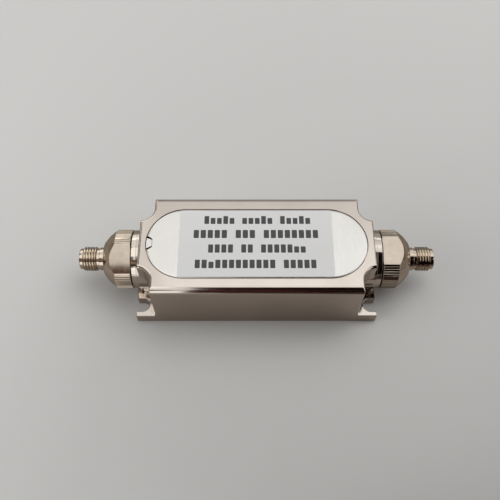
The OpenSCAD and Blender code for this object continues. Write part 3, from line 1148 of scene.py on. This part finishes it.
@dataclass
class Jack:
    """One turned jack: shank, knurled nut with two wrench flats, cone, neck, thread, pilot and socket.

    Places along X are from the middle of the box. A groove of the knurl is given as shares of its half
    width and depth, and a turn of the thread as shares of its pitch. The wrench flats lean by flat_turn
    degrees.
    """

    end: End
    flat_turn: float
    shank_end: float = 28.3
    shank_r: float = 6.0
    shank_round: float = 0.25
    nut_rear: float = 32.15
    nut_front: float = 36.2
    nut_r: float = 7.7
    nut_overlap: float = 0.8
    nut_rear_round: float = 0.2
    nut_front_round: float = 0.35
    half_flats: float = 6.7
    cone_swell: float = 0.26
    cone_swell_at: float = 0.55
    cone_swell_round: float = 4.5
    cone_front: float = 39.6
    cone_r: float = 4.4
    cone_round: float = 0.6
    neck_r: float = 3.0
    neck_end: float = 41.0
    neck_round: float = 0.12
    groove_r: float = 2.75
    thread_start: float = 41.6
    thread_end: float = 45.3
    thread_r: float = 3.175
    thread_root: float = 2.76
    thread_turns: int = 9
    thread_form: tuple[float, ...] = (0.0, 0.03, 0.32, 0.36, 0.64, 0.68, 0.97)
    crest_round: float = 0.04
    root_round: float = 0.01
    trim: float = 0.02
    chamfer: float = 0.3
    chamfer_depth: float = 0.4
    pitch: float = 0.7056
    pilot_r: float = 2.7
    pilot_round: float = 0.18
    tip: float = 46.2
    bore_r: float = 2.1
    socket_r: float = 2.3
    socket_bottom: float = 44.3
    socket_flare: float = 0.12
    knurl_grooves: int = 72
    knurl_depth: float = 0.11
    knurl_over: float = 0.2
    knurl_mouth: float = 1.3
    knurl_bend: Pair = (0.3, 0.85)
    ring: Pair = (31.86, 32.14)
    ring_r: float = 7.3
    ring_bore: float = 6.05
    ring_round: float = 0.1
    sleeve_rear: float = 26.9
    sleeve_r: float = 2.05
    sleeve_round: float = 0.08
    contact_r: float = 0.685
    mouth_in: float = 0.1
    mouth_out: float = 0.3
    mouth_r: float = 0.9

    @property
    def name(self) -> str:
        """Name of this end, as the frame's nodes spell it."""
        return self.end.name.lower()

    def core(self) -> BMesh:
        """Turns everything but the nut, the cone and the thread.

        Returns:
            The closed solid.
        """
        rear = self.nut_rear + self.nut_overlap
        return lathe([
            (self.shank_end, self.shank_r), (rear, self.shank_r), (rear, self.neck_r),
            (self.cone_front, self.neck_r), (self.neck_end, self.neck_r), (self.neck_end, self.groove_r),
            (self.thread_start, self.groove_r), (self.thread_start, self.pilot_r), (self.tip, self.pilot_r),
        ], rounds={0: self.shank_round, 4: self.neck_round, 8: self.pilot_round})

    def nut(self) -> BMesh:
        """Turns the nut and its cone, and cuts the knurl and the wrench flats.

        Returns:
            The closed solid.
        """
        along, down = self.cone_front - self.nut_front, self.nut_r - self.cone_r
        slant = math.hypot(along, down)
        swell = (self.nut_front + along * self.cone_swell_at + self.cone_swell * down / slant,
                 self.nut_r - down * self.cone_swell_at + self.cone_swell * along / slant)
        blank = lathe([
            (self.nut_rear, self.nut_r), (self.nut_front, self.nut_r), swell, (self.cone_front, self.cone_r),
        ], FINE_TURN_STEPS, {
            0: self.nut_rear_round, 1: self.nut_front_round, 2: self.cone_swell_round, 3: self.cone_round,
        })
        return joined(blank, [(Join.KEEP, self.knurled_bar())])

    def knurled_bar(self) -> BMesh:
        """Makes a long bar with the knurl's grooves round it and the two wrench flats.

        Returns:
            The closed bar, from behind the nut to in front of the cone.
        """
        low, high = self.nut_rear - CLEAR, self.cone_front + CLEAR
        pitch, deep = math.tau / self.knurl_grooves, self.knurl_depth
        half = deep / self.nut_r
        bend = (-half * self.knurl_bend[0], -deep * self.knurl_bend[1])
        side = ((-half * self.knurl_mouth, self.knurl_over), (-half, 0.0), bend)
        section = (*side, (0.0, -deep), *((-turn, out) for turn, out in reversed(side)))
        bm = bmesh.new()
        ring = []
        for k in range(self.knurl_grooves):
            for turn, out in section:
                a, r = (k + 0.5) * pitch + turn, self.nut_r + out
                ring.append(bm.verts.new((low, r * math.cos(a), AXIS_H + r * math.sin(a))))
        pushed(bm, [bm.faces.new(ring)], (high - low, 0, 0))
        lean = math.radians(self.flat_turn) * self.end.value
        for side in (1, -1):
            out = Vector((0, -math.sin(lean), math.cos(lean))) * side
            middle = Vector((0, 0, AXIS_H)) + out * self.half_flats
            bmesh.ops.bisect_plane(bm, geom=all_of(bm), plane_co=middle, plane_no=out, clear_outer=True)
            bmesh.ops.holes_fill(bm, edges=[e for e in bm.edges if e.is_boundary], sides=0)
        return tidy(bm)

    def thread(self) -> BMesh:
        """Winds the thread, cuts it to length and turns its chamfers.

        Returns:
            The threaded bar, closed.
        """
        root, crest = self.thread_root, self.thread_r
        foot, shoulder = root + self.root_round, crest - self.crest_round
        form = tuple(zip(self.thread_form, (root, foot, shoulder, crest, crest, shoulder, foot)))
        start = self.thread_start - 2 * self.pitch
        points = [(start + k * self.pitch + share * self.pitch, r)
                  for k in range(self.thread_turns) for share, r in form]
        points.append((start + self.thread_turns * self.pitch, root))
        bm = bmesh.new()
        verts = [bm.verts.new((x, 0, AXIS_H + r)) for x, r in points]
        edges = [bm.edges.new(pair) for pair in zip(verts, verts[1:])]
        bmesh.ops.spin(
            bm, geom=verts + edges, cent=(0, 0, AXIS_H), axis=(1, 0, 0), angle=math.tau,
            steps=SMALL_TURN_STEPS, dvec=(self.pitch / SMALL_TURN_STEPS, 0, 0), use_merge=False,
            use_duplicate=False,
        )
        bmesh.ops.remove_doubles(bm, verts=bm.verts, dist=ON)
        for x, side in ((self.thread_start + self.trim, -1), (self.thread_end - self.trim, 1)):
            bmesh.ops.bisect_plane(
                bm, geom=all_of(bm), dist=ON_CUT, plane_co=(x, 0, 0), plane_no=(side, 0, 0), clear_outer=True)
            bmesh.ops.holes_fill(bm, edges=[e for e in bm.edges if e.is_boundary], sides=0)
        tidy(bm)
        low, high = crest - self.chamfer_depth, crest + NEAR
        blank = lathe([
            (self.thread_start, low), (self.thread_start + self.chamfer, high),
            (self.thread_end - self.chamfer, high), (self.thread_end, low),
        ])
        return joined(bm, [(Join.KEEP, blank)])

    def bores(self) -> BMesh:
        """Turns the cutter for the insulator's bore and the socket, with a small flare at the mouth.

        Returns:
            The closed cutter.
        """
        return lathe([
            (self.shank_end - CLEAR, self.bore_r), (self.socket_bottom, self.bore_r),
            (self.socket_bottom, self.socket_r), (self.tip - self.socket_flare, self.socket_r),
            (self.tip + CLEAR / 2, self.socket_r + self.socket_flare + CLEAR / 2),
        ], SMALL_TURN_STEPS)

    def seal(self) -> BMesh:
        """Turns the flat ring between the nut and the boss.

        Returns:
            The closed ring.
        """
        rear, front = self.ring
        disc = lathe([(rear, self.ring_r), (front, self.ring_r)], SMALL_TURN_STEPS,
                     {0: self.ring_round, 1: self.ring_round})
        hole = lathe([(rear - CLEAR, self.ring_bore), (front + CLEAR, self.ring_bore)], SMALL_TURN_STEPS)
        return joined(disc, [(Join.CUT, hole)])

    def insulator(self) -> BMesh:
        """Turns the sleeve round the contact.

        Returns:
            The closed sleeve.
        """
        rear, front = self.sleeve_rear, self.socket_bottom
        sleeve = lathe([(rear, self.sleeve_r), (front, self.sleeve_r)], SMALL_TURN_STEPS,
                       {1: self.sleeve_round}, 3)
        hole = lathe([
            (rear - CLEAR, self.contact_r), (front - self.mouth_in, self.contact_r),
            (front + self.mouth_out, self.mouth_r),
        ], HOLE_STEPS)
        return joined(sleeve, [(Join.CUT, hole)])

    def build(self) -> list[Piece]:
        """Builds the jack's body, its seal ring and its insulator.

        Returns:
            The three pieces.
        """
        steps = [(Join.ADD, self.nut()), (Join.ADD, self.thread()), (Join.CUT, self.bores())]
        body = joined(self.core(), steps)
        rubber = Coated("seal_rubber", (0.018, 0.017, 0.016), (0.03, 0.028, 0.027), roughness=0.6)
        white = Coated("insulator_white", (0.80, 0.80, 0.77), (0.74, 0.74, 0.71), roughness=0.45, grain=900.0,
                       depth=0.000003)
        parts = (
            ("jack_turned", body, Slot.TURNED, TurnedNickel(), "jack_body"),
            ("seal", self.seal(), Slot.SEAL, rubber, "seal_ring"),
            ("insulator", self.insulator(), Slot.INSULATOR, white, "dielectric"),
        )
        return [
            finished(f"{self.name}_{part}", turned_end(bm, self.end), [finish.material()],
                     [f"{self.name}_{node}"])
            for part, bm, slot, finish, node in parts
        ]


# Inner parts

@dataclass
class InnerParts:
    """Contacts, board, screws, coils and capacitors, which keep the frame's own shapes."""

    nodes: dict[str, Piece]

    def finishes(self) -> dict[tuple[str, ...], Coated]:
        """Gives each family of inner nodes its finish.

        Returns:
            The finishes, by the starts of the nodes' names.
        """
        return {
            ("input_contact", "output_contact"): Coated(
                "contact_gold", (0.83, 0.58, 0.22), (0.78, 0.53, 0.19), roughness=0.22, grain=2500.0,
                depth=0.000001, metallic=1.0),
            ("circuit_board",): Coated(
                "board_laminate", (0.015, 0.12, 0.05), (0.02, 0.15, 0.07), roughness=0.4),
            ("board_screws",): Coated(
                "screw_steel", (0.55, 0.55, 0.56), (0.48, 0.48, 0.50), roughness=0.25, metallic=1.0),
            ("resonator_coil",): Coated(
                "coil_copper", (0.60, 0.25, 0.11), (0.52, 0.21, 0.09), roughness=0.3, metallic=1.0),
            ("shunt_capacitor", "coupling_capacitor"): Coated(
                "chip_ceramic", (0.45, 0.34, 0.20), (0.40, 0.30, 0.17), roughness=0.5),
        }

    def dress(self) -> None:
        """Puts the finishes on the nodes."""
        for starts, finish in self.finishes().items():
            material = finish.material()
            for name, node in self.nodes.items():
                if name.startswith(starts):
                    node.data.materials.clear()
                    node.data.materials.append(material)
                    LOG.info("%s: dressed as %s", name, finish.name)


# Studio

def across(*rows: tuple[float, float, float, float]) -> list[Point]:
    """Gives the corners of a sheet whose rows run along X, each as (start, end, Y, Z)."""
    return [(x, y, z) for start, end, y, z in rows for x in (start, end)]


def along(*rows: tuple[float, float, float, float]) -> list[Point]:
    """Gives the corners of a sheet whose rows run along Y, each as (X, start, end, Z)."""
    return [(x, y, z) for x, start, end, z in rows for y in (start, end)]


BLACK = (0.0, 0.0, 0.0)
BLACK_CLOTH = (0.02, 0.015, 0.012)
# Tint of the side floor sheets: painted shade, darker than the floor itself.
PAINTED_SHADE_SIDE_FLOOR = (0.33, 0.29, 0.25)


@dataclass(frozen=True)
class Card:
    """One sheet of card or light round the object, as rows of two corners in millimetres."""

    name: str
    corners: Sequence[Point]
    tint: Tint = BLACK
    glow: float = 0.0
    use: Use = Use.MIRRORED


CARDS = (
    Card("dark_side_left", across((-33, 8, -2, 215), (-33, 8, -130, 215), (-28, 30, -120, 3)),
         (0.1, 0.034, 0.028)),
    Card("dark_side_middle", across((8, 40, -2, 215), (8, 40, -130, 215), (30, 70, -120, 3)),
         (0.05, 0.018, 0.014)),
    Card("dark_side_right", across((40, 150, -2, 215), (40, 150, -130, 215), (70, 200, -120, 3)),
         (0.02, 0.009, 0.007)),
    # A dark sheet on the floor in front, seen only in reflections: painted shadow on the floor as the plating
    # mirrors it.
    Card("painted_shadow_front_floor", across((42, 200, -27, 0.3), (24, 200, -36, 0.3), (-10, 200, -66, 0.3),
                              (-16, 200, -120, 0.3)), (0.09, 0.056, 0.047)),
    Card("arm_high", across((-62, -400, -106.5, 185.3), (-62, -400, -129, 170)), (0.19, 0.11, 0.07)),
    Card("arm_mid", across((-52, -400, -129, 170), (-52, -400, -153, 144)), (0.5, 0.36, 0.25)),
    Card("arm_low", across((-42, -400, -153, 144), (-42, -400, -172, 119)), (0.07, 0.045, 0.035)),
    Card("window", across((-46, -190, -300, 105), (-46, -190, -300, 155)), glow=1.55),
    Card("window_low", across((-46, -190, -300, 0.4), (-46, -190, -300, 105)), glow=1.25),
    # A glowing sheet lying on the floor, seen only in reflections: a painted pool of light on the floor, not
    # a lamp.
    Card("painted_lit_floor", across((-20, -170, -66, 0.4), (-46, -190, -300, 0.4)), glow=0.8),
    Card("overhead_left", across((-58, -400, -105, 330), (-58, -400, 100, 330)), glow=1.35),
    # Sheets on the floor that only reflections see, darker and browner than the floor: painted shade of the
    # floor round, behind and beside the object, as the plating mirrors it.
    Card("painted_shade_near_floor", across((-75, 75, -66, 0.06), (-75, 75, 10, 0.06)), (0.43, 0.388, 0.355)),
    Card("painted_shade_back_floor", across((-75, 75, 10, 0.06), (-75, 75, 300, 0.06)), (0.29, 0.268, 0.232)),
    Card("painted_shade_left_floor", along((-75, -66, 300, 0.4), (-400, -66, 300, 0.4), (-400, -66, 300, 70)),
         PAINTED_SHADE_SIDE_FLOOR),
    Card("painted_shade_right_floor", along((75, -66, 300, 0.4), (400, -66, 300, 0.4), (400, -66, 300, 70)),
         PAINTED_SHADE_SIDE_FLOOR),
    Card("strip_left", across((-400, -66, 170, 130), (-400, -66, 190, 98)), glow=1.9),
    Card("strip_left_low", across((-150, -66, 190, 98), (-150, -66, 215, 35)), glow=1.1),
    Card("panel_left", across((-160, -62, 100, 330), (-134, -62, 170, 130)), glow=1.0),
    Card("strip_right", across((400, 68.5, 170, 130), (400, 68.5, 190, 98)), glow=1.3),
    Card("top_box", across((-40, 360, 0, 400), (-40, 360, 250, 400)), glow=2.15, use=Use.LIGHT),
    Card("fill", along((-330, -200, 60, 20), (-260, -200, 60, 260)), glow=1.85, use=Use.LIGHT),
    Card("hood", [(-70, -70, 215), (120, -55, 215), *across((-70, 120, -130, 215), (-70, 120, -125, 25))],
         BLACK_CLOTH, use=Use.SHADE),
    Card("flag", across((0, 260, -66, 0.5), (30, 260, -66, 120)), BLACK_CLOTH, use=Use.SHADE),
)


@dataclass
class Studio:
    """Floor, sky, the lit and dark cards that the plating mirrors, and the camera."""

    lens: float = 47.806
    sensor: float = 36.0
    tilt: float = 28.5
    stand: Point = (-1.7015, -81.5235, 164.5819)
    clip: Pair = (0.01, 20.0)
    floor_tint: Tint = (0.695, 0.69, 0.68)
    floor_reach: float = 3000.0
    floor_drop: float = 0.02
    card_roughness: float = 0.9
    card_specular: float = 0.1
    lamp_tint: Tint = (1.0, 0.99, 0.97)
    strength: float = 1.34
    backdrop: Tint = (0.46, 0.457, 0.45)
    sky_y: tuple[Pair, ...] = (
        (0.0, 0.72), (0.2, 0.74), (0.34, 0.76), (0.48, 0.77), (0.6, 0.77), (0.67, 0.93), (0.71, 0.95),
        (0.77, 0.66), (0.82, 0.62), (0.87, 0.54), (0.92, 0.4), (0.96, 0.32), (1.0, 0.28),
    )
    sky_x: tuple[Pair, ...] = (
        (0.0, 0.18), (0.33, 0.2), (0.35, 0.4), (0.368, 0.97), (0.5, 0.98), (0.62, 1.0), (0.84, 1.0),
        (0.93, 0.6), (1.0, 0.25),
    )

    def sky(self) -> None:
        """Lights the world by direction, with a plain backdrop where the camera sees it.

        Each ramp reads one part of the direction: 0 is the front or left horizon, 0.5 is overhead, and 1
        is the back or right horizon.
        """
        world = bpy.data.worlds.new("sky")
        bpy.context.scene.world = world
        world.use_nodes = True
        nodes = Nodes(world.node_tree)
        place = nodes.add("ShaderNodeTexCoord").outputs["Generated"]
        split = nodes.add("ShaderNodeSeparateXYZ", {"Vector": place})
        levels = []
        for axis, stops in (("Y", self.sky_y), ("X", self.sky_x)):
            inputs = {0: split.outputs[axis], 1: 0.5, 2: 0.5}
            share = nodes.add("ShaderNodeMath", inputs, operation="MULTIPLY_ADD").outputs[0]
            levels.append(nodes.ramp(share, stops))
        lit = nodes.blend(1.0, *levels, "MULTIPLY")
        seen = nodes.add("ShaderNodeLightPath").outputs["Is Camera Ray"]
        background = nodes.tree.nodes["Background"]
        nodes.feed(background.inputs["Color"], nodes.blend(seen, lit, self.backdrop))
        nodes.feed(background.inputs["Strength"], self.strength)

    def sheet(self, name: str, corners: Sequence[Point], tint: Tint, glow: float = 0.0) -> Piece:
        """Makes a flat or folded stage sheet.

        Args:
            name: Name of the sheet.
            corners: Rows of two corners, in millimetres.
            tint: Its colour.
            glow: Strength of its own light.

        Returns:
            The sheet.
        """
        bm = bmesh.new()
        verts = [bm.verts.new(Vector(c) * MM) for c in corners]
        for i in range(0, len(verts) - 2, 2):
            bm.faces.new((verts[i], verts[i + 1], verts[i + 3], verts[i + 2]))
        piece = workpiece(name, bm)
        surface = Shading(name)
        values = {
            "Roughness": self.card_roughness, "Specular IOR Level": self.card_specular, "Base Color": tint,
            "Emission Color": self.lamp_tint, "Emission Strength": glow,
        }
        for socket, value in values.items():
            surface.feed(surface.shader.inputs[socket], value)
        piece.data.materials.append(surface.material)
        return piece

    def camera(self) -> None:
        """Sets the camera."""
        camera = bpy.data.objects.new("camera", bpy.data.cameras.new("camera"))
        camera.data.lens = self.lens
        camera.data.sensor_width = self.sensor
        camera.data.clip_start, camera.data.clip_end = self.clip
        camera.location = Vector(self.stand) * MM
        camera.rotation_euler = (math.radians(self.tilt), 0, 0)
        bpy.context.scene.collection.objects.link(camera)
        bpy.context.scene.camera = camera

    def build(self) -> None:
        """Makes the sky, the floor, the cards and the camera."""
        self.sky()
        reach, drop = self.floor_reach, -self.floor_drop
        floor = across((-reach, reach, -reach, drop), (-reach, reach, reach, drop))
        self.sheet("floor", floor, self.floor_tint)
        for card in CARDS:
            piece = self.sheet(card.name, card.corners, card.tint, card.glow)
            piece.visible_camera = False
            piece.visible_diffuse, piece.visible_glossy, piece.visible_shadow = card.use.value
        self.camera()
        bpy.context.scene.view_settings.view_transform = "Standard"


def main() -> None:
    """Builds the filter's pieces and the studio."""
    logging.basicConfig(level=logging.INFO, format="%(message)s")
    Housing().build()
    Lid().build()
    Label().build()
    Jack(End.INPUT, flat_turn=29.0).build()
    Jack(End.OUTPUT, flat_turn=9.0).build()
    InnerParts(frame["nodes"]).dress()
    Studio().build()


if __name__ == "__main__":
    main()
